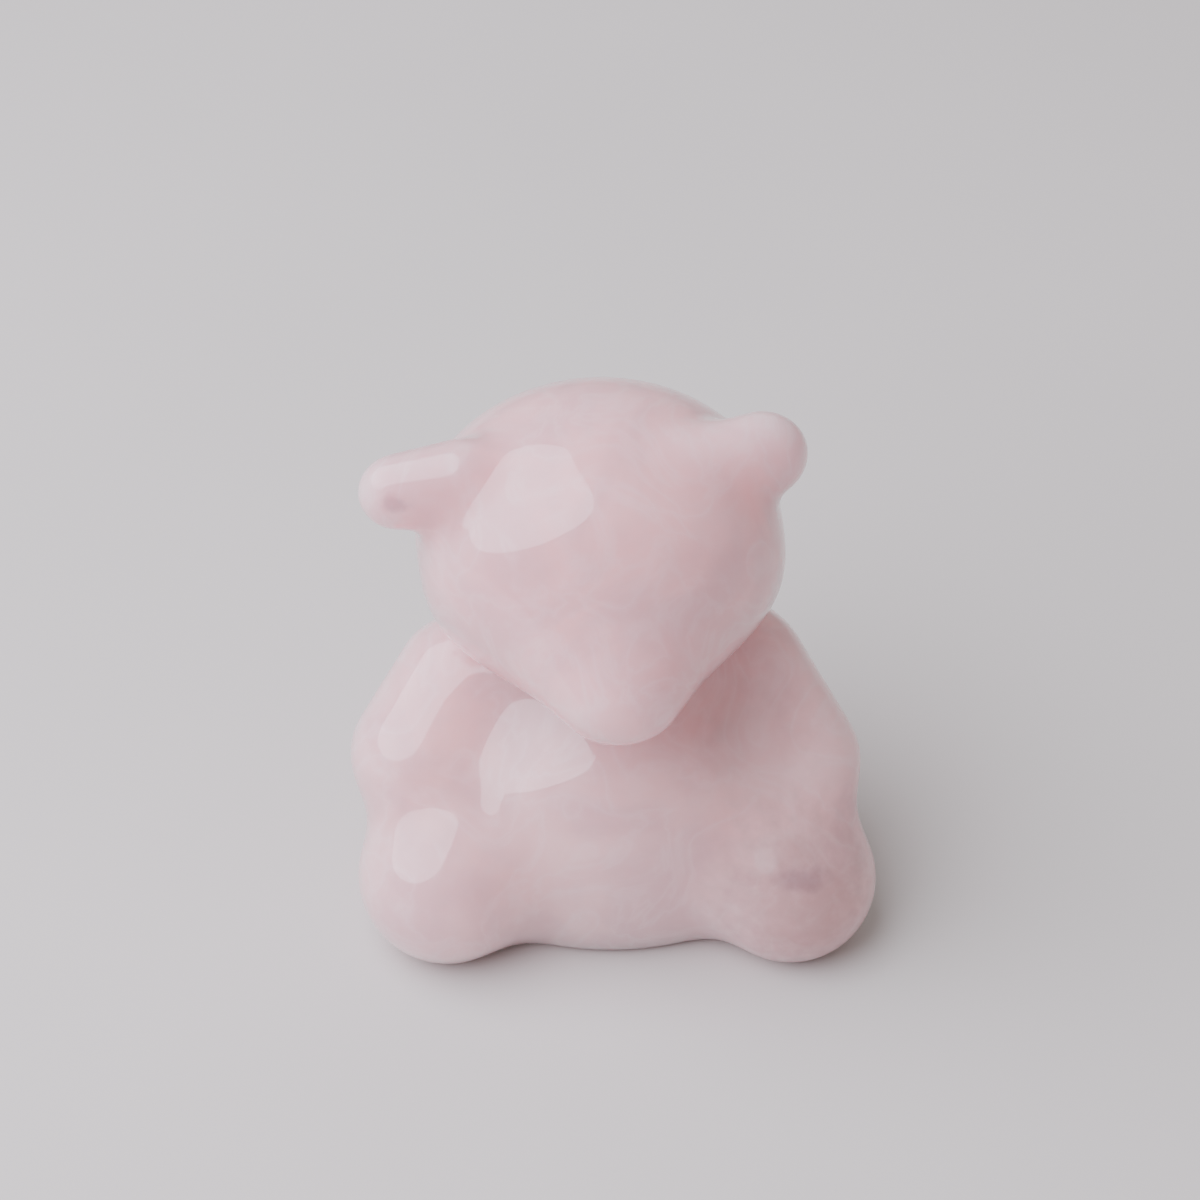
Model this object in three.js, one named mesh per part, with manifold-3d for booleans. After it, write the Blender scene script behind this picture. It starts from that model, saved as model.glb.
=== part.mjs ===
// A small sitting bear carved from one piece of milky pink quartz.
// Millimetres. +Z is up, the bear looks along -Y, and its flat base is at Z = 0.
// "left" and "right" in the names are the sides of the page when the bear faces the viewer:
// left is -X and right is +X.
import * as THREE from "three";
import { mergeVertices } from "three/addons/utils/BufferGeometryUtils.js";
import Module from "manifold-3d";

const wasm = await Module();
wasm.setup();

// ---------------------------------------------------------------- driving dimensions

// The cut left between two neighbouring pieces, measured square to the surface.
const GAP = 0.3;

// Torso: an egg with its blunt end down, cut flat where it sits.
const TORSO_WIDTH = 24.2;
const TORSO_DEPTH = 17.8;
const TORSO_HEIGHT = 25.6;
const TORSO_SHIFT_X = 0.4;
const TORSO_SHIFT_Y = 1.7;
// Half profile of the egg: [share of the half width, share of the height].
const TORSO_PROFILE = [
  [0.72, 0.0],
  [0.84, 0.06],
  [0.93, 0.18],
  [0.985, 0.33],
  [1.0, 0.48],
  [0.97, 0.62],
  [0.86, 0.76],
  [0.65, 0.88],
  [0.37, 0.965],
];

// Head: a round back that narrows forward and down to the nose, wider than it is tall.
const HEAD_WIDTH = 25.9;
const HEAD_HEIGHT = 21.2;
const HEAD_LIFT = 3.8; // centre of the head above the top of the torso
const HEAD_SHIFT_X = -0.8; // centre of the head, from the torso's axis
const HEAD_SHIFT_Y = -1.3;
const NOSE_REACH = 11.7; // nose centre in front of the head centre
const NOSE_DROP = 4.2; // nose centre below the head centre
const NOSE_RADIUS = 3.7;
const HEAD_TURN = 8.5; // degrees, the nose swings towards +X
const HEAD_LEAN = 5.2; // degrees, the crown leans towards +X

// Belly: a rounded cushion on the front of the torso.
const BELLY_WIDTH = 26.6;
const BELLY_DEPTH = 15.8;
const BELLY_HEIGHT = 24.0;
const BELLY_CENTRE = [-0.02, -0.755, -0.41]; // in torso half sizes

// Ears: rounded paddles, thinner front to back than they are tall. Centres are in head half sizes.
const EAR_FLATNESS = 0.78; // thickness as a share of height
const EARS = {
  left_ear: {
    inner: { centre: [-0.75, -0.09, 0.42], radius: 3.2 },
    outer: { centre: [-1.115, -0.09, 0.45], radius: 2.8 },
  },
  right_ear: {
    inner: { centre: [0.42, -0.06, 0.67], radius: 3.5 },
    outer: { centre: [0.77, -0.12, 0.7], radius: 3.3 },
  },
};

// Arms and legs: tapered, with two round ends. Centres are in torso half sizes.
const LIMBS = {
  left_leg: {
    inner: { centre: [-0.78, -0.57, -0.61], radius: 5.3 },
    outer: { centre: [-0.97, -1.18, -0.6], radius: 6.3 },
  },
  right_leg: {
    inner: { centre: [0.72, -0.57, -0.61], radius: 5.3 },
    outer: { centre: [1.03, -1.155, -0.615], radius: 6.1 },
  },
  left_arm: {
    inner: { centre: [-0.89, -0.295, 0.2], radius: 5.0 },
    outer: { centre: [-1.09, -0.58, -0.01], radius: 5.4 },
  },
  right_arm: {
    inner: { centre: [0.8, -0.23, 0.27], radius: 4.9 },
    outer: { centre: [1.03, -0.635, -0.065], radius: 5.0 },
  },
};

// Facets round each shape.
const PROFILE_STEPS = 26; // steps up the egg's half profile
const RINGS_PER_FACET = 0.6; // rings of an ellipsoid for each facet round it
const HEAD_FACETS = 42;
const TORSO_FACETS = 38;
const BELLY_FACETS = 38;
const LIMB_FACETS = 26;
const EAR_FACETS = 22;

// Points closer than this are one point.
const WELD = 1e-4;
// Side of the block that stands for everything above the ground, wider than the bear.
const ABOVE_GROUND = 200;

const STONE_COLOUR = 0xe3c9cc;
const STONE_ROUGHNESS = 0.22;

// ---------------------------------------------------------------- places

const torsoCentre = new THREE.Vector3(TORSO_SHIFT_X, TORSO_SHIFT_Y, TORSO_HEIGHT / 2);
const torsoHalf = new THREE.Vector3(TORSO_WIDTH, TORSO_DEPTH, TORSO_HEIGHT).divideScalar(2);
const headCentre = new THREE.Vector3(
  TORSO_SHIFT_X + HEAD_SHIFT_X,
  TORSO_SHIFT_Y + HEAD_SHIFT_Y,
  TORSO_HEIGHT + HEAD_LIFT,
);
const headHalf = new THREE.Vector3(HEAD_WIDTH, HEAD_HEIGHT, HEAD_HEIGHT).divideScalar(2);

// A point given in half sizes of the torso.
function onTorso(shares) {
  return new THREE.Vector3(...shares).multiply(torsoHalf).add(torsoCentre);
}

// The head's own frame, turned and leant about its centre.
const headFrame = new THREE.Matrix4()
  .makeRotationZ(THREE.MathUtils.degToRad(HEAD_TURN))
  .multiply(new THREE.Matrix4().makeRotationY(THREE.MathUtils.degToRad(HEAD_LEAN)))
  .setPosition(headCentre);

// ---------------------------------------------------------------- solids

// Makes a manifold solid from a closed three.js geometry.
function solidOf(geometry) {
  const bare = geometry.clone();
  bare.deleteAttribute("normal");
  bare.deleteAttribute("uv");
  const merged = mergeVertices(bare, WELD);
  const index = merged.index.array;
  const triangles = [];
  for (let i = 0; i < index.length; i += 3) {
    const [a, b, c] = [index[i], index[i + 1], index[i + 2]];
    if (a !== b && b !== c && c !== a) triangles.push(a, b, c);
  }
  const mesh = new wasm.Mesh({
    numProp: 3,
    vertProperties: merged.attributes.position.array,
    triVerts: new Uint32Array(triangles),
  });
  return new wasm.Manifold(mesh);
}

// An ellipsoid about the origin.
function ellipsoid(radii, facets) {
  const ball = new THREE.SphereGeometry(1, facets, Math.round(facets * RINGS_PER_FACET));
  return ball.rotateX(Math.PI / 2).scale(...radii);
}

// A tapered body between two round ends, made along Y and then stretched.
function roundedTaper(start, end, startRadius, endRadius, stretch, facets) {
  const from = start.clone().divide(stretch);
  const axis = end.clone().divide(stretch).sub(from);
  const length = axis.length();
  const lean = Math.asin((startRadius - endRadius) / length);
  const steps = Math.round(facets / 3);
  const points = [];
  for (let i = 0; i <= steps; i++) {
    const angle = -Math.PI / 2 + ((Math.PI / 2 + lean) * i) / steps;
    const along = startRadius * Math.sin(angle);
    points.push(new THREE.Vector2(startRadius * Math.cos(angle), along));
  }
  for (let i = 0; i <= steps; i++) {
    const angle = lean + ((Math.PI / 2 - lean) * i) / steps;
    const along = length + endRadius * Math.sin(angle);
    points.push(new THREE.Vector2(endRadius * Math.cos(angle), along));
  }
  points[0].x = 0;
  points[points.length - 1].x = 0;
  const upright = new THREE.Vector3(0, 1, 0);
  const turn = new THREE.Quaternion().setFromUnitVectors(upright, axis.normalize());
  const body = new THREE.LatheGeometry(points, facets);
  return body.applyQuaternion(turn).translate(...from).scale(...stretch);
}

// The egg of the torso, standing on its flat end.
function torsoShape(grow) {
  const rim = TORSO_PROFILE.map(([across, up]) => new THREE.Vector2(across, up));
  const top = new THREE.Vector2(0, 1);
  const smooth = new THREE.SplineCurve([...rim, top]).getPoints(PROFILE_STEPS);
  const profile = [new THREE.Vector2(0, 0), ...smooth];
  profile[profile.length - 1].x = 0;
  const egg = new THREE.LatheGeometry(profile, TORSO_FACETS);
  egg.rotateX(Math.PI / 2).translate(0, 0, -0.5);
  egg.scale(TORSO_WIDTH / 2 + grow, TORSO_DEPTH / 2 + grow, TORSO_HEIGHT + 2 * grow);
  return egg.translate(...torsoCentre);
}

// The head, in its own frame until the last step.
function headShape(grow) {
  const radius = HEAD_HEIGHT / 2;
  const back = new THREE.Vector3();
  const nose = new THREE.Vector3(0, -NOSE_REACH, -NOSE_DROP);
  const stretch = new THREE.Vector3(HEAD_WIDTH / HEAD_HEIGHT, 1, 1);
  const wedge = roundedTaper(back, nose, radius + grow, NOSE_RADIUS + grow, stretch, HEAD_FACETS);
  return wedge.applyMatrix4(headFrame);
}

// The belly cushion.
function bellyShape(grow) {
  const sizes = [BELLY_WIDTH, BELLY_DEPTH, BELLY_HEIGHT];
  const radii = sizes.map((size) => size / 2 + grow);
  return ellipsoid(radii, BELLY_FACETS).translate(...onTorso(BELLY_CENTRE));
}

// One ear, rooted inside the head.
function earShape({ inner, outer }, grow) {
  const root = new THREE.Vector3(...inner.centre).multiply(headHalf);
  const tip = new THREE.Vector3(...outer.centre).multiply(headHalf);
  const stretch = new THREE.Vector3(1, EAR_FLATNESS, 1);
  const radii = [inner.radius + grow, outer.radius + grow];
  return roundedTaper(root, tip, ...radii, stretch, EAR_FACETS).applyMatrix4(headFrame);
}

// One arm or leg, rooted inside the torso.
function limbShape({ inner, outer }, grow) {
  const root = onTorso(inner.centre);
  const tip = onTorso(outer.centre);
  const stretch = new THREE.Vector3(1, 1, 1);
  return roundedTaper(root, tip, inner.radius + grow, outer.radius + grow, stretch, LIMB_FACETS);
}

// Everything above the ground.
const block = new THREE.BoxGeometry(ABOVE_GROUND, ABOVE_GROUND, ABOVE_GROUND);
const aboveGround = solidOf(block.translate(0, 0, ABOVE_GROUND / 2));

// ---------------------------------------------------------------- assembly

const figure = new THREE.Group();
figure.name = "sitting_bear";
const seated = [];

// Adds a piece, cut back from every piece seated before it.
function seat(name, shape) {
  let solid = solidOf(shape(0)).intersect(aboveGround);
  for (const neighbour of seated) solid = solid.subtract(neighbour);
  seated.push(solidOf(shape(GAP)));
  const made = solid.getMesh();
  const geometry = new THREE.BufferGeometry();
  geometry.setAttribute("position", new THREE.BufferAttribute(made.vertProperties, 3));
  geometry.setIndex(new THREE.BufferAttribute(made.triVerts, 1));
  const stone = new THREE.MeshStandardMaterial({
    color: STONE_COLOUR,
    roughness: STONE_ROUGHNESS,
    metalness: 0,
  });
  const mesh = new THREE.Mesh(geometry, stone);
  mesh.name = name;
  figure.add(mesh);
}

seat("torso", torsoShape);
seat("head", headShape);
seat("belly", bellyShape);
for (const [name, ear] of Object.entries(EARS)) {
  seat(name, (grow) => earShape(ear, grow));
}
for (const [name, limb] of Object.entries(LIMBS)) {
  seat(name, (grow) => limbShape(limb, grow));
}

// The origin is the centre of the footprint, on the ground.
const middle = new THREE.Box3().setFromObject(figure).getCenter(new THREE.Vector3());
for (const piece of figure.children) piece.geometry.translate(-middle.x, -middle.y, 0);

export default figure;
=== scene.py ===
"""A small sitting bear carved from one piece of milky pink quartz, on a plain pale floor.

The carving is one stone, so it is drawn as one closed skin that stands for all the CAD nodes.
Round bodies are sized from the nodes' boxes, joined softly where the carver rounded the creases,
and the skin is laid on the surface where their joint distance is zero.
Shapes are worked out in millimetres and turned into metres when the mesh is made.
"""

import bpy
import numpy as np
import openvdb
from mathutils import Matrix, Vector


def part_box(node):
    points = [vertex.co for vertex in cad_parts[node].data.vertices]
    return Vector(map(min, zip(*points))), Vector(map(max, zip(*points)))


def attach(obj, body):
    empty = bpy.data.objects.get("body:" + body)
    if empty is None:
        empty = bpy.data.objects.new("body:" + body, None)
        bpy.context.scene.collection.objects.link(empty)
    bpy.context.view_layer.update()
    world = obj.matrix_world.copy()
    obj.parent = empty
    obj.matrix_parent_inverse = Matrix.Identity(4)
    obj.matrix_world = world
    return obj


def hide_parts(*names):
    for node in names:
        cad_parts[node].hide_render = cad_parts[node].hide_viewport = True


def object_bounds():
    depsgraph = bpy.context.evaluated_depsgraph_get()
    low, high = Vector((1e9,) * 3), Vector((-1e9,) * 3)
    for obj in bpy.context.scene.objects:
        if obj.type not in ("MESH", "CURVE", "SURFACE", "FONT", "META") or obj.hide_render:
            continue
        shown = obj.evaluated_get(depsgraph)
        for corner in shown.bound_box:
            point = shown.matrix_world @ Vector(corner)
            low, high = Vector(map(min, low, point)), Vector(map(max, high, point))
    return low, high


bl_info = {
    "name": "Carved Quartz Bear",
    "version": (1, 0, 0),
    "blender": (4, 5, 0),
    "location": "View3D > Sidebar > Bear",
    "description": "Builds a sitting bear of milky pink quartz and a stage for it",
    "category": "Add Mesh",
}

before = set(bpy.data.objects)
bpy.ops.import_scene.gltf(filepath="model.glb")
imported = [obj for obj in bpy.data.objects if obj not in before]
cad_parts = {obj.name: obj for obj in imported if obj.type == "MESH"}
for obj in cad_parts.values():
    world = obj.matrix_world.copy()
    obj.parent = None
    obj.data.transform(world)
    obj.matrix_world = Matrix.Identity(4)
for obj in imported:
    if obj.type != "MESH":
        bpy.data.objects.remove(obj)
FRAME_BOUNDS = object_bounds()
NODES = sorted(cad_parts)

MM = 0.001
TINY = 1e-6
# Sides as seen from in front of the bear: left is towards -X and right towards +X.
LEFT = -1
RIGHT = 1

# Sizes below are in millimetres, and shares are parts of a node's box.
# An ear's root is measured from the head's centre, before the head is turned.
EARS = {
    "left_ear": {
        "side": LEFT,
        "tip_radius": 2.8,
        "tip_drop": 0.0,
        "root": (-10.0, -1.2, 5.5),
        "root_radius": 3.4,
        "flatness": 0.8,
    },
    "right_ear": {
        "side": RIGHT,
        "tip_radius": 3.3,
        "tip_drop": 0.3,
        "root": (5.6, -2.4, 6.0),
        "root_radius": 4.05,
        "flatness": 0.75,
    },
}
# A limb's root is in shares of the torso's box, and its outer lift is a share of its own box.
LIMBS = {
    "left_arm": {
        "side": LEFT,
        "outer_radius": 5.2,
        "outer_lift": 0.367,
        "root": (0.055, 0.40, 0.625),
        "root_radius": 4.7,
    },
    "right_arm": {
        "side": RIGHT,
        "outer_radius": 5.2,
        "outer_lift": 0.298,
        "root": (0.885, 0.425, 0.65),
        "root_radius": 4.4,
    },
    "left_leg": {
        "side": LEFT,
        "outer_radius": 6.3,
        "outer_lift": 0.475,
        "root": (0.106, 0.217, 0.195),
        "root_radius": 5.3,
    },
    "right_leg": {
        "side": RIGHT,
        "outer_radius": 6.05,
        "outer_lift": 0.454,
        "root": (0.860, 0.217, 0.195),
        "root_radius": 5.3,
    },
}
ARMS = ("left_arm", "right_arm")
LEGS = ("left_leg", "right_leg")
HEAD_WIDTH_SHARE = 0.985
HEAD_SHIFT = -0.2
# Half sizes of the back and the seat, as shares of the torso's half sizes.
EGG_SHARE = (0.94, 1.0, 1.0)
SEAT_SHARE = (0.97, 0.97, 0.74)
SEAT_PLACE = (0.5, 0.5, 0.254)
# Half sizes of the belly, as shares of its whole box, and the height of its centre.
BELLY_SHARE = (0.5, 0.656, 0.578)
BELLY_LIFT = 0.356


# ------------------------------------------------------------------ measuring the frame


def box_mm(node):
    """Lowest and highest corner of a CAD node, in millimetres."""
    low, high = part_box(node)
    return np.array(low) / MM, np.array(high) / MM


def spot(node, shares):
    """Point at given shares of a CAD node's box, in millimetres."""
    low, high = box_mm(node)
    return low + (high - low) * np.array(shares)


def turned(lean, turn):
    """Rotation that leans about Y and then turns about Z, in radians."""
    lean_matrix = np.array(
        [[np.cos(lean), 0, np.sin(lean)], [0, 1, 0], [-np.sin(lean), 0, np.cos(lean)]]
    )
    turn_matrix = np.array(
        [[np.cos(turn), -np.sin(turn), 0], [np.sin(turn), np.cos(turn), 0], [0, 0, 1]]
    )
    return turn_matrix @ lean_matrix


# ------------------------------------------------------------------ distances to round bodies


def smooth_union(first, second, blend):
    """Joins two distance fields with a soft crease about blend wide."""
    weight = np.clip(0.5 + 0.5 * (second - first) / blend, 0, 1)
    return second * (1 - weight) + first * weight - blend * weight * (1 - weight)


def smooth_cut(body, tool, blend):
    """Cuts a tool out of a body with a soft edge."""
    return -smooth_union(-body, tool, blend)


def ellipsoid(points, centre, radii):
    """Distance to an ellipsoid, close to exact near its surface."""
    local = points - np.asarray(centre, np.float32)
    radii = np.asarray(radii, np.float32)
    near = np.linalg.norm(local / radii, axis=-1)
    slope = np.linalg.norm(local / radii**2, axis=-1)
    return near * (near - 1) / np.maximum(slope, TINY)


def taper(points, start, end, start_radius, end_radius, stretch=(1, 1, 1)):
    """Distance to a tapered body between two balls, stretched along the axes."""
    stretch = np.asarray(stretch, np.float32)
    start = np.asarray(start, np.float32) / stretch
    axis = np.asarray(end, np.float32) / stretch - start
    length = float(np.linalg.norm(axis))
    local = points / stretch - start
    along = local @ (axis / length)
    across = np.sqrt(np.maximum((local**2).sum(-1) - along**2, 0))
    lean = (start_radius - end_radius) / length
    upright = np.sqrt(1 - lean**2)
    shifted = along * upright - across * lean
    to_start = np.hypot(across, along) - start_radius
    to_end = np.hypot(across, along - length) - end_radius
    to_side = across * upright + along * lean - start_radius
    side = np.where(shifted < 0, to_start, np.where(shifted > length * upright, to_end, to_side))
    return side * float(stretch.min())


# ------------------------------------------------------------------ the carving


def head_place(look):
    """Centre, ball radius and rotation of the head."""
    low, high = box_mm("head")
    radius = look.head_height / MM / 2
    centre_x = (low[0] + high[0]) / 2 + HEAD_SHIFT
    centre = np.array([centre_x, high[1] - radius, high[2] - radius])
    return centre, radius, turned(look.head_lean, look.head_turn)


def head_distance(points, look):
    """The wedge of crown, cheeks and snout."""
    centre, radius, rotation = head_place(look)
    low, high = box_mm("head")
    widen = HEAD_WIDTH_SHARE * (high[0] - low[0]) / 2 / radius
    nose = (0, -look.nose_reach / MM, -look.nose_drop / MM)
    local = (points - centre.astype(np.float32)) @ rotation.astype(np.float32)
    wedge = taper(local, (0, 0, 0), nose, radius, look.nose_radius / MM, (widen, 1, 1))
    along = np.clip((local @ np.array(nose, np.float32)) / np.dot(nose, nose), 0, 1)
    return wedge - look.brow_swell / MM * np.sin(np.pi * along) ** 2


def ear_distance(points, look, node):
    """One ear: a rounded paddle between a root in the head and a tip at its box's outer face."""
    ear = EARS[node]
    low, high = box_mm(node)
    centre, _, rotation = head_place(look)
    outer_face = low[0] if ear["side"] == LEFT else high[0]
    middle = (low + high) / 2
    tip_x = outer_face - ear["side"] * ear["tip_radius"]
    tip = np.array([tip_x, middle[1], middle[2] - ear["tip_drop"]])
    local = (points - centre.astype(np.float32)) @ rotation.astype(np.float32)
    tip_local = (tip - centre) @ rotation
    flatten = (1, ear["flatness"], 1)
    return taper(local, ear["root"], tip_local, ear["root_radius"], ear["tip_radius"], flatten)


def torso_distance(points, look):
    """The egg of the back, with a fuller seat below it."""
    low, high = box_mm("torso")
    half = (high - low) / 2
    egg = ellipsoid(points, (low + high) / 2, half * EGG_SHARE)
    seat = ellipsoid(points, spot("torso", SEAT_PLACE), half * SEAT_SHARE)
    return smooth_union(egg, seat, look.seat_blend / MM)


def belly_distance(points):
    """The cushion of the belly, which reaches from the ground to the chest."""
    low, high = box_mm("belly")
    half = (high - low) * BELLY_SHARE
    centre = ((low[0] + high[0]) / 2, low[1] + half[1], high[2] * BELLY_LIFT)
    return ellipsoid(points, centre, half)


def limb_distance(points, node):
    """An arm or leg, whose outer ball touches the outer and front faces of its box."""
    limb = LIMBS[node]
    low, high = box_mm(node)
    radius = limb["outer_radius"]
    outer_face = low[0] if limb["side"] == LEFT else high[0]
    lift = low[2] + (high[2] - low[2]) * limb["outer_lift"]
    ball = (outer_face - limb["side"] * radius, low[1] + radius, lift)
    return taper(points, spot("torso", limb["root"]), ball, limb["root_radius"], radius)


def bear_distance(points, look):
    """Distance in mm from each point to the surface of the carving, negative inside it."""
    ears = np.minimum(*(ear_distance(points, look, node) for node in EARS))
    arms = np.minimum(*(limb_distance(points, node) for node in ARMS))
    legs = np.minimum(*(limb_distance(points, node) for node in LEGS))
    head = smooth_union(head_distance(points, look), ears, look.ear_blend / MM)
    torso = torso_distance(points, look)
    body = smooth_union(torso, belly_distance(points), look.belly_blend / MM)
    body = smooth_union(body, arms, look.limb_blend / MM)
    body = smooth_union(body, legs, look.limb_blend / MM)
    ground = points[..., 2]
    body = smooth_cut(body, ground, look.base_rounding / MM)
    return smooth_union(head, body, look.neck_blend / MM)


# The skin is looked for in the frame's box and this margin round it, one slab at a time.
SKIN_MARGIN = 2.0
SKIN_SLABS = 8
NEWTON_STEPS = 4
SLOPE_STEP = 0.02
LEAST_STEEPNESS = 0.05


def skin_mesh(distance, low, high, spacing):
    """A closed quad mesh on the zero surface of a distance function, in millimetres."""
    counts = np.ceil((high - low) / spacing).astype(int) + 1
    axes = [low[i] + spacing * np.arange(counts[i]) for i in range(3)]
    grid_points = np.stack(np.meshgrid(*axes, indexing="ij"), axis=-1).astype(np.float32)
    values = np.concatenate([distance(slab) for slab in np.array_split(grid_points, SKIN_SLABS)])
    grid = openvdb.FloatGrid(float(values.max()))
    grid.copyFromArray(values.astype(np.float32))
    corners, quads = grid.convertToQuads(isovalue=0.0)
    corners = corners * spacing + low
    for _ in range(NEWTON_STEPS):
        corners = onto_surface(distance, corners)
    return corners, quads


def gradient(distance, points):
    """Slope of a distance function at each point."""
    slopes = []
    for axis in np.eye(3) * SLOPE_STEP:
        ahead = distance((points + axis).astype(np.float32)).astype(float)
        behind = distance((points - axis).astype(np.float32)).astype(float)
        slopes.append((ahead - behind) / (2 * SLOPE_STEP))
    return np.stack(slopes, axis=-1)


def onto_surface(distance, points):
    """Moves points one Newton step towards the zero surface."""
    slope = gradient(distance, points)
    steepness = np.maximum((slope**2).sum(-1, keepdims=True), LEAST_STEEPNESS)
    return points - distance(points.astype(np.float32))[:, None] * slope / steepness


def signed_volume(corners, quads):
    """Volume inside a closed quad mesh, negative if its faces point inwards."""
    a, b, c, d = (corners[quads[:, i]] for i in range(4))
    first = np.einsum("ij,ij->i", a, np.cross(b, c))
    second = np.einsum("ij,ij->i", a, np.cross(c, d))
    return (first.sum() + second.sum()) / 6


def mesh_object(name, corners, quads):
    """A smooth mesh object from corners in millimetres, with its faces outwards."""
    if signed_volume(corners, quads) < 0:
        quads = quads[:, ::-1]
    mesh = bpy.data.meshes.new(name)
    mesh.from_pydata((corners * MM).tolist(), [], quads.tolist())
    mesh.shade_smooth()
    obj = bpy.data.objects.new(name, mesh)
    bpy.context.scene.collection.objects.link(obj)
    return obj


# ------------------------------------------------------------------ the stone

# Noise scales are in turns per millimetre and sizes in millimetres.
# The stone gets pinker over this far below and above the chin.
NECK_FADE = 6.0
CLOUD_NOISE = {"scale": 0.11, "detail": 3.0, "distortion": 0.7}
CLOUD_RANGE = (0.38, 0.64)
VEIL_NOISE = {"scale": 0.16, "detail": 4.0, "distortion": 1.6}
VEIL_SHARPNESS = 9.0
GRAIN_NOISE = {"scale": 1.3, "detail": 4.0}
GRAIN_RANGE = (0.35, 0.75)
SATIN_NOISE = {"scale": 0.5, "detail": 2.0}
SATIN_SPREAD = 0.06
SWELL_NOISE = {"scale": 0.35, "detail": 1.0}
RAG_NOISE = {"scale": 0.9, "detail": 3.0}
# A mark is full strength inside this share of its size, and its edge wanders by its rag.
MARK_CORE = 0.25
MARK_RAG = 0.9
# The edge of each patch of painted shade wanders by this rag.
RIGHT_SHADE_RAG = 0.4
# Each patch of painted shade on the right side, away from the window: the node it lies in, its place
# in that node's box, its size and its strength.
RIGHT_SIDE_SHADE = (
    ("right_leg", (0.50, 0.20, 0.60), (8.0, 8.0, 8.0), 0.7),
    ("right_arm", (0.25, 0.20, 0.55), (5.5, 6.0, 8.0), 0.35),
)
# Each dark mark: the node it lies in, its place in that node's box and its size. The foot crack is a
# real flaw; the ear mark is painted shade in a recess of the left ear.
FOOT_CRACK = ("right_leg", (0.504, 0.122, 0.817), (2.6, 1.8, 1.1))
# Painted shade: a dark spot in the recess low on the front of the left ear.
EAR_HOLLOW_SHADE = ("left_ear", (0.314, 0.03, 0.621), (1.6, 1.2, 0.9))
# The polish wears off across and downwards, from the first place to the second.
WORN_ACROSS = (0.0, 13.0)
WORN_HEIGHT = (24.0, 12.0)
# How far red, green and blue light travel inside, as shares of the inner reach.
INNER_TINT = (1.0, 0.72, 0.76)
QUARTZ_IOR = 1.54


# Sockets of a colour Mix node, whose names it shares with its other types.
COLOUR_A = 6
COLOUR_B = 7
MIXED_COLOUR = 2


class Wire:
    """A shader socket that can be added, subtracted, multiplied and raised in plain Python."""

    def __init__(self, tree, socket):
        self.tree = tree
        self.socket = socket

    def node(self, kind, inputs=None, output=0, **settings):
        """Adds a node, sets it up and returns one of its outputs."""
        made = self.tree.nodes.new(kind)
        for key, value in settings.items():
            setattr(made, key, value)
        for key, value in (inputs or {}).items():
            self.plug(value, made.inputs[key])
        return Wire(self.tree, made.outputs[output])

    def plug(self, value, target):
        """Links a socket to a target, or sets the target to a constant."""
        if isinstance(value, Wire):
            self.tree.links.new(value.socket, target)
        else:
            target.default_value = value

    def math(self, operation, *values):
        """A Math node on the given values or wires."""
        inputs = dict(enumerate(values))
        return self.node("ShaderNodeMath", inputs, operation=operation)

    def vector(self, operation, *values, output=0):
        """A Vector Math node on the given vectors or wires."""
        inputs = dict(enumerate(values))
        return self.node("ShaderNodeVectorMath", inputs, output, operation=operation)

    def __add__(self, other):
        return self.math("ADD", self, other)

    def __sub__(self, other):
        return self.math("SUBTRACT", self, other)

    def __rsub__(self, other):
        return self.math("SUBTRACT", other, self)

    def __mul__(self, other):
        return self.math("MULTIPLY", self, other)

    def __pow__(self, other):
        return self.math("POWER", self, other)

    __radd__ = __add__
    __rmul__ = __mul__

    def ramp(self, start, end):
        """0 below start, 1 above end and smooth between; start may be above end."""
        inputs = {"Value": self, "From Min": start, "From Max": end}
        return self.node("ShaderNodeMapRange", inputs, interpolation_type="SMOOTHSTEP")

    def noise(self, scale, detail, distortion=0.0):
        """Cloudy noise about 0.5 at this point."""
        inputs = {"Vector": self, "Scale": scale, "Detail": detail, "Distortion": distortion}
        return self.node("ShaderNodeTexNoise", inputs)

    def part(self, axis):
        """One coordinate of this point."""
        return self.node("ShaderNodeSeparateXYZ", {0: self}, output=axis)

    def mixed(self, amount, low, high):
        """A colour between two colours: low at an amount of 0 and high at 1."""
        inputs = {"Factor": amount, COLOUR_A: low, COLOUR_B: high}
        return self.node("ShaderNodeMix", inputs, MIXED_COLOUR, data_type="RGBA")


def new_material(name):
    """An empty principled material: the material, its shader and a starting socket in mm."""
    material = bpy.data.materials.new(name)
    material.use_nodes = True
    tree = material.node_tree
    shader = tree.nodes["Principled BSDF"]
    place = Wire(tree, None).node("ShaderNodeTexCoord", output="Object")
    point = place.node("ShaderNodeVectorMath", {0: place, "Scale": 1 / MM}, operation="SCALE")
    return material, shader, point


def mark(point, node, shares, radii, rag):
    """1 at a spot in a CAD node's box and 0 outside its ellipsoid, with a ragged edge."""
    away = point.vector("SUBTRACT", point, tuple(spot(node, shares)))
    away = point.vector("DIVIDE", away, radii)
    distance = point.vector("LENGTH", away, output="Value")
    ragged = distance + (point.noise(**RAG_NOISE) - 0.5) * rag
    return ragged.ramp(1.0, MARK_CORE)


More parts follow.
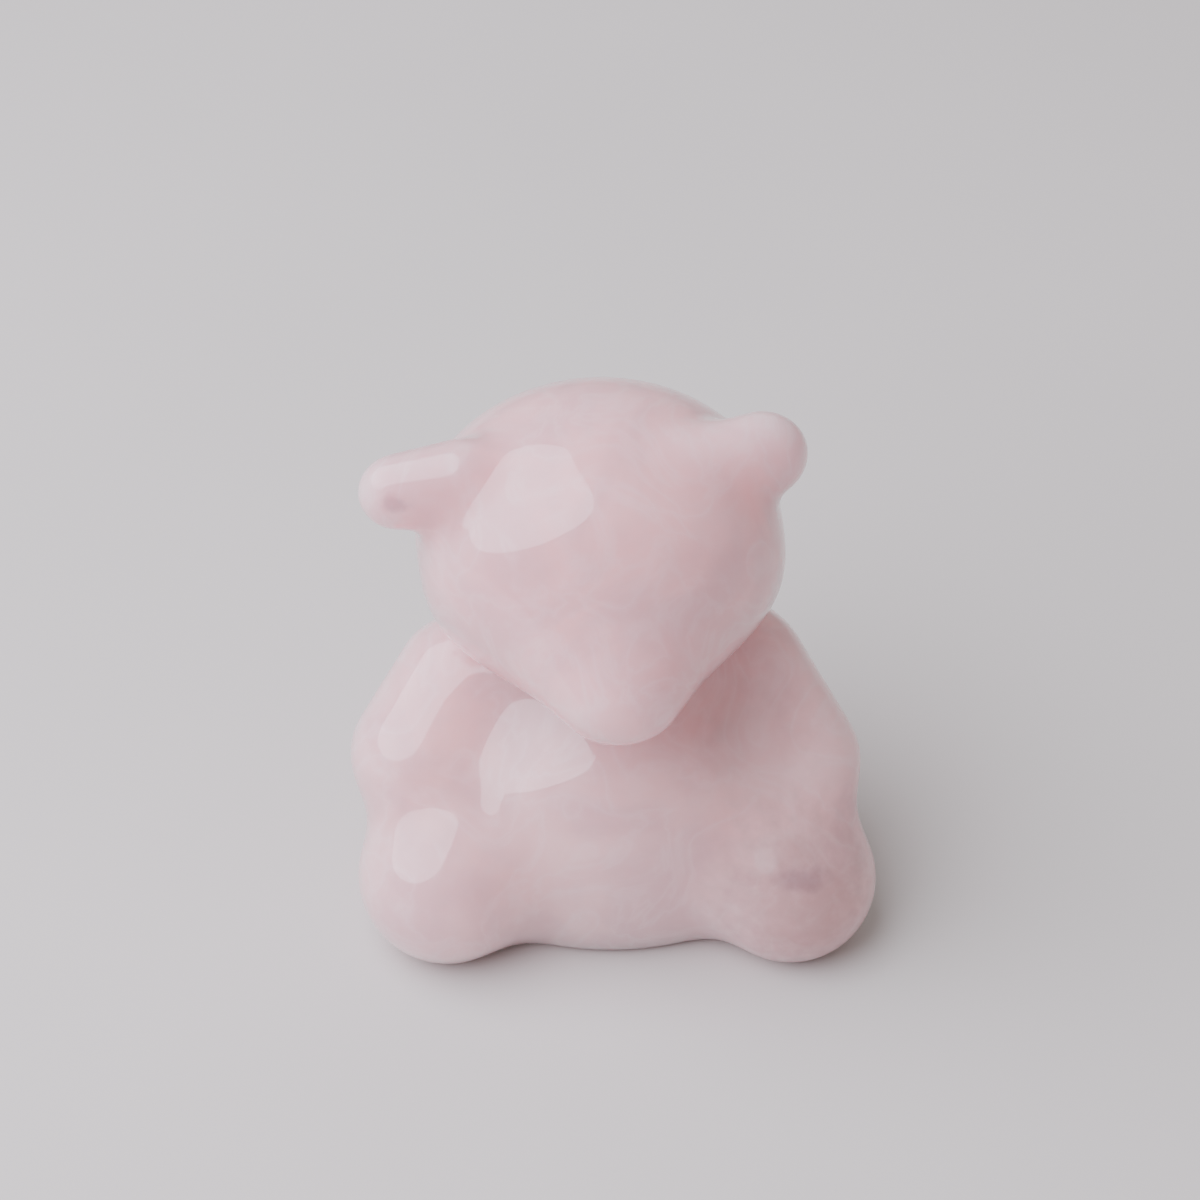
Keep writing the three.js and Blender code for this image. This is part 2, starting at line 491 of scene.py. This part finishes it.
def stone_colour(point, look):
    """Milky pink with grey clouds, pale veils, a fine grain, painted shade on the right side and two
    dark marks: a crack and painted shade in an ear's recess.
    """
    chin = box_mm("head")[0][2]
    neck = point.part("Z").ramp(chin - NECK_FADE, chin + NECK_FADE)
    milk = point.mixed(neck, tuple(look.body_colour), tuple(look.head_colour))
    clouds = point.noise(**CLOUD_NOISE).ramp(*CLOUD_RANGE)
    milk = point.mixed(clouds * look.cloudiness, milk, tuple(look.cloud_colour))
    fold = point.noise(**VEIL_NOISE) - 0.5
    veil = 1.0 - fold.math("ABSOLUTE", fold) * VEIL_SHARPNESS
    veil = veil.math("MAXIMUM", veil, 0.0) ** 2.0
    milk = point.mixed(veil * look.veil_strength, milk, tuple(look.veil_colour))
    grain = point.noise(**GRAIN_NOISE).ramp(*GRAIN_RANGE)
    milk = point.mixed(grain * look.grain_strength, milk, tuple(look.veil_colour))
    # Painted shade: the right arm and right leg are coloured darker and warmer, standing in for the
    # shade on the side away from the window.
    for *place, strength in RIGHT_SIDE_SHADE:
        right_shade = mark(point, *place, RIGHT_SHADE_RAG) * (strength * look.right_shade_strength)
        milk = point.mixed(right_shade, milk, tuple(look.right_shade_colour))
    # The crack in the right foot is a real flaw in the stone; the mark in the left ear's recess is
    # painted shade.
    crack = mark(point, *FOOT_CRACK, MARK_RAG)
    hollow_shade = mark(point, *EAR_HOLLOW_SHADE, MARK_RAG)
    dark = crack.math("MAXIMUM", crack, hollow_shade) * look.mark_strength
    return point.mixed(dark, milk, tuple(look.crack_and_recess_shade_colour))


def stone_material(look):
    """Milky pink quartz under a clear polish, lit from inside."""
    material, shader, point = new_material("rose_quartz")
    point.plug(stone_colour(point, look), shader.inputs["Base Color"])
    worn = point.part("X").ramp(*WORN_ACROSS) * point.part("Z").ramp(*WORN_HEIGHT)
    point.plug(1.0 - worn * look.dullness, shader.inputs["Coat Weight"])
    satin = point.noise(**SATIN_NOISE) * SATIN_SPREAD + look.roughness
    point.plug(satin, shader.inputs["Roughness"])
    swell = {"Height": point.noise(**SWELL_NOISE), "Distance": look.swell_height}
    point.plug(point.node("ShaderNodeBump", swell), shader.inputs["Normal"])
    shader.inputs["Subsurface Weight"].default_value = look.inner_light
    shader.inputs["Subsurface Radius"].default_value = INNER_TINT
    shader.inputs["Subsurface Scale"].default_value = look.inner_reach
    shader.inputs["Specular IOR Level"].default_value = look.shine
    shader.inputs["Coat Roughness"].default_value = look.polish_roughness
    shader.inputs["Coat IOR"].default_value = QUARTZ_IOR
    shader.inputs["IOR"].default_value = QUARTZ_IOR
    return material


# ------------------------------------------------------------------ settings


def size(name, description, default):
    """A length setting, in metres."""
    return bpy.props.FloatProperty(
        name=name, description=description, default=default, min=0.0, unit="LENGTH", precision=4
    )


def angle(name, description, default):
    """An angle setting, in radians."""
    return bpy.props.FloatProperty(
        name=name, description=description, default=default, subtype="ANGLE"
    )


def share(name, description, default):
    """A setting from 0 to 1."""
    return bpy.props.FloatProperty(
        name=name, description=description, default=default, min=0.0, max=1.0, subtype="FACTOR"
    )


def colour(name, description, default):
    """A colour setting, linear, with alpha."""
    return bpy.props.FloatVectorProperty(
        name=name, description=description, default=default, size=4, min=0.0, max=1.0, subtype="COLOR"
    )


class BearShape(bpy.types.PropertyGroup):
    """Sizes of the carving that its CAD boxes don't give."""

    head_height: size("Head height", "Height of the round back of the head", 0.0212)
    nose_reach: size("Nose reach", "Nose centre in front of the head centre", 0.0121)
    nose_drop: size("Nose drop", "Nose centre below the head centre", 0.0038)
    brow_swell: size("Brow swell", "How far the face bulges between crown and nose", 0.0007)
    nose_radius: size("Nose radius", "Radius of the tip of the snout", 0.0037)
    head_turn: angle("Head turn", "How far the nose swings towards +X", 0.1326)
    head_lean: angle("Head lean", "How far the crown leans towards +X", 0.0698)
    seat_blend: size("Seat crease", "Width of the soft crease between back and seat", 0.002)
    ear_blend: size("Ear crease", "Width of the soft crease round each ear", 0.0014)
    belly_blend: size("Belly crease", "Width of the soft crease round the belly", 0.0025)
    limb_blend: size("Limb crease", "Width of the soft crease round each arm and leg", 0.0032)
    neck_blend: size("Neck crease", "Width of the soft crease under the head", 0.0008)
    base_rounding: size("Base rounding", "Rounding where the carving meets the floor", 0.0008)
    spacing: size("Skin spacing", "Distance between the skin's vertices", 0.00026)


class BearStone(bpy.types.PropertyGroup):
    """Colours and finish of the quartz."""

    body_colour: colour("Body", "Milky stone of the body", (0.80, 0.50, 0.52, 1.0))
    head_colour: colour("Head", "Pinker stone of the head", (0.84, 0.47, 0.50, 1.0))
    cloud_colour: colour("Clouds", "Greyer clouds in the stone", (0.62, 0.38, 0.42, 1.0))
    veil_colour: colour("Veils", "Pale veils in the stone", (0.88, 0.72, 0.76, 1.0))
    # Painted shade: a darker, warmer colour laid on the right arm and leg, standing in for the shade
    # on the side away from the window.
    right_shade_colour: colour("Painted_right_shade", "Warm darker stone on the right", (0.36, 0.22, 0.21, 1.0))
    right_shade_strength: share("Painted_right_shade_strength", "Strength of the darker stone on the right", 1.0)
    # This dark colour paints both the real crack in the right foot and painted shade in the recess of
    # the left ear.
    crack_and_recess_shade_colour: colour("Cracks_and_shade", "Dark marks of inner cracks", (0.20, 0.12, 0.15, 1.0))
    cloudiness: share("Cloudiness", "Strength of the clouds", 0.55)
    veil_strength: share("Veil strength", "Strength of the veils", 0.2)
    grain_strength: share("Grain strength", "Strength of the fine grain", 0.06)
    mark_strength: share("Mark strength", "Strength of the two dark marks", 0.4)
    roughness: share("Roughness", "Least roughness of the stone under its polish", 0.18)
    shine: share("Shine", "Strength of the stone's reflections under its polish", 0.12)
    polish_roughness: share("Polish roughness", "Roughness of the polish", 0.02)
    dullness: share("Dullness", "How much the polish is worn low on the right", 0.8)
    swell_height: size("Swell height", "Height of the faint swells under the polish", 0.00006)
    inner_light: share("Inner light", "Share of light that travels inside the stone", 1.0)
    inner_reach: size("Inner reach", "How far light travels inside the stone", 0.009)


class BearStage(bpy.types.PropertyGroup):
    """Floor, lights and camera."""

    floor_colour: colour("Floor", "Plain floor", (0.62, 0.60, 0.59, 1.0))
    window_size: size("Window size", "Width of the large soft light", 0.51)
    window_distance: size("Window distance", "Distance of the large soft light", 0.34)
    window_power: bpy.props.FloatProperty(
        name="Window power", description="Power of the large soft light", default=3.5, unit="POWER"
    )
    room_light: share("Room light", "Strength of the even light from all sides", 0.5)
    camera_distance: size("Camera distance", "Camera to the middle of the bear", 0.3056)
    camera_elevation: angle("Camera elevation", "Camera above the horizon", 0.7226)
    lens: bpy.props.FloatProperty(
        name="Lens", description="Focal length", default=132.0, subtype="DISTANCE_CAMERA"
    )


# ------------------------------------------------------------------ operators


class CarveBear(bpy.types.Operator):
    """Carve the bear as one closed skin of quartz"""

    bl_idname = "quartz_bear.carve"
    bl_label = "Carve Bear"

    def execute(self, context):
        shape = context.scene.bear_shape

        def distance(points):
            return bear_distance(points, shape)

        low = np.array(FRAME_BOUNDS[0]) / MM - SKIN_MARGIN
        high = np.array(FRAME_BOUNDS[1]) / MM + SKIN_MARGIN
        spacing = shape.spacing / MM * 1.0
        corners, quads = skin_mesh(distance, low, high, spacing)
        bear = mesh_object("carved_bear", corners, quads)
        bear.data.materials.append(stone_material(context.scene.bear_stone))
        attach(bear, "root")
        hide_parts(*NODES)
        return {"FINISHED"}


class SetStage(bpy.types.Operator):
    """Lay the floor and set the lights and the camera"""

    bl_idname = "quartz_bear.stage"
    bl_label = "Set Stage"

    def execute(self, context):
        settings = context.scene.bear_stage
        middle = Vector(LOOK_AT) * MM
        add_floor(settings)
        add_window(settings, middle)
        add_room_light(settings)
        add_camera(settings, middle)
        return {"FINISHED"}


# The camera and the window both point at this place, in millimetres.
LOOK_AT = (-0.95, 2.04, 23.5)
NEAREST_VIEW = 0.01
WINDOW_DIRECTION = (-0.60, -0.20, 0.78)
WINDOW_COLOUR = (0.93, 0.90, 1.0)
ROOM_COLOUR = (1.0, 0.96, 0.92, 1.0)
# Half the floor's width, in metres.
FLOOR_HALF = 1.5
FLOOR_NOISE = {"scale": 0.02, "detail": 2.0}
FLOOR_RANGE = (0.3, 0.7)
FLOOR_SHADE = 0.97
FLOOR_ROUGHNESS = 0.8


def add_floor(settings):
    """A wide plain floor at the foot of the bear."""
    half = FLOOR_HALF
    corners = [(-half, -half, 0), (half, -half, 0), (half, half, 0), (-half, half, 0)]
    mesh = bpy.data.meshes.new("floor")
    mesh.from_pydata(corners, [], [(0, 1, 2, 3)])
    floor = bpy.data.objects.new("floor", mesh)
    bpy.context.scene.collection.objects.link(floor)
    material, shader, point = new_material("floor_paper")
    tone = point.noise(**FLOOR_NOISE).ramp(*FLOOR_RANGE)
    darker = tuple(channel * FLOOR_SHADE for channel in settings.floor_colour[:3]) + (1.0,)
    point.plug(point.mixed(tone, tuple(settings.floor_colour), darker), shader.inputs["Base Color"])
    shader.inputs["Roughness"].default_value = FLOOR_ROUGHNESS
    mesh.materials.append(material)


def add_window(settings, middle):
    """The large soft light on the left."""
    light = bpy.data.lights.new("window", "AREA")
    light.shape = "DISK"
    light.size = settings.window_size
    light.energy = settings.window_power
    light.color = WINDOW_COLOUR
    lamp = bpy.data.objects.new("window", light)
    direction = Vector(WINDOW_DIRECTION).normalized()
    lamp.location = middle + direction * settings.window_distance
    lamp.rotation_euler = direction.to_track_quat("Z", "Y").to_euler()
    bpy.context.scene.collection.objects.link(lamp)


def add_room_light(settings):
    """Even light from all sides."""
    world = bpy.data.worlds.new("room")
    world.use_nodes = True
    background = world.node_tree.nodes["Background"]
    background.inputs["Color"].default_value = ROOM_COLOUR
    background.inputs["Strength"].default_value = settings.room_light
    bpy.context.scene.world = world


def add_camera(settings, middle):
    """A camera in front of the bear, looking down on it."""
    camera = bpy.data.cameras.new("camera")
    camera.lens = settings.lens
    camera.clip_start = NEAREST_VIEW
    viewer = bpy.data.objects.new("camera", camera)
    elevation = settings.camera_elevation
    back = Vector((0, -np.cos(elevation), np.sin(elevation)))
    viewer.location = middle + back * settings.camera_distance
    viewer.rotation_euler = back.to_track_quat("Z", "Y").to_euler()
    bpy.context.scene.collection.objects.link(viewer)
    bpy.context.scene.camera = viewer


class BearPanel(bpy.types.Panel):
    """Buttons and settings of the bear"""

    bl_idname = "VIEW3D_PT_quartz_bear"
    bl_label = "Carved Quartz Bear"
    bl_space_type = "VIEW_3D"
    bl_region_type = "UI"
    bl_category = "Bear"

    def draw(self, context):
        scene = context.scene
        for operator in OPERATORS:
            self.layout.operator(operator.bl_idname)
        for group in (scene.bear_shape, scene.bear_stone, scene.bear_stage):
            column = self.layout.column()
            for key in type(group).__annotations__:
                column.prop(group, key)


OPERATORS = (CarveBear, SetStage)
CLASSES = (BearShape, BearStone, BearStage, *OPERATORS, BearPanel)


def register():
    for cls in CLASSES:
        bpy.utils.register_class(cls)
    bpy.types.Scene.bear_shape = bpy.props.PointerProperty(type=BearShape)
    bpy.types.Scene.bear_stone = bpy.props.PointerProperty(type=BearStone)
    bpy.types.Scene.bear_stage = bpy.props.PointerProperty(type=BearStage)


def unregister():
    del bpy.types.Scene.bear_stage
    del bpy.types.Scene.bear_stone
    del bpy.types.Scene.bear_shape
    for cls in reversed(CLASSES):
        bpy.utils.unregister_class(cls)


def main():
    register()
    bpy.ops.quartz_bear.carve()
    bpy.ops.quartz_bear.stage()


if __name__ == "__main__":
    main()
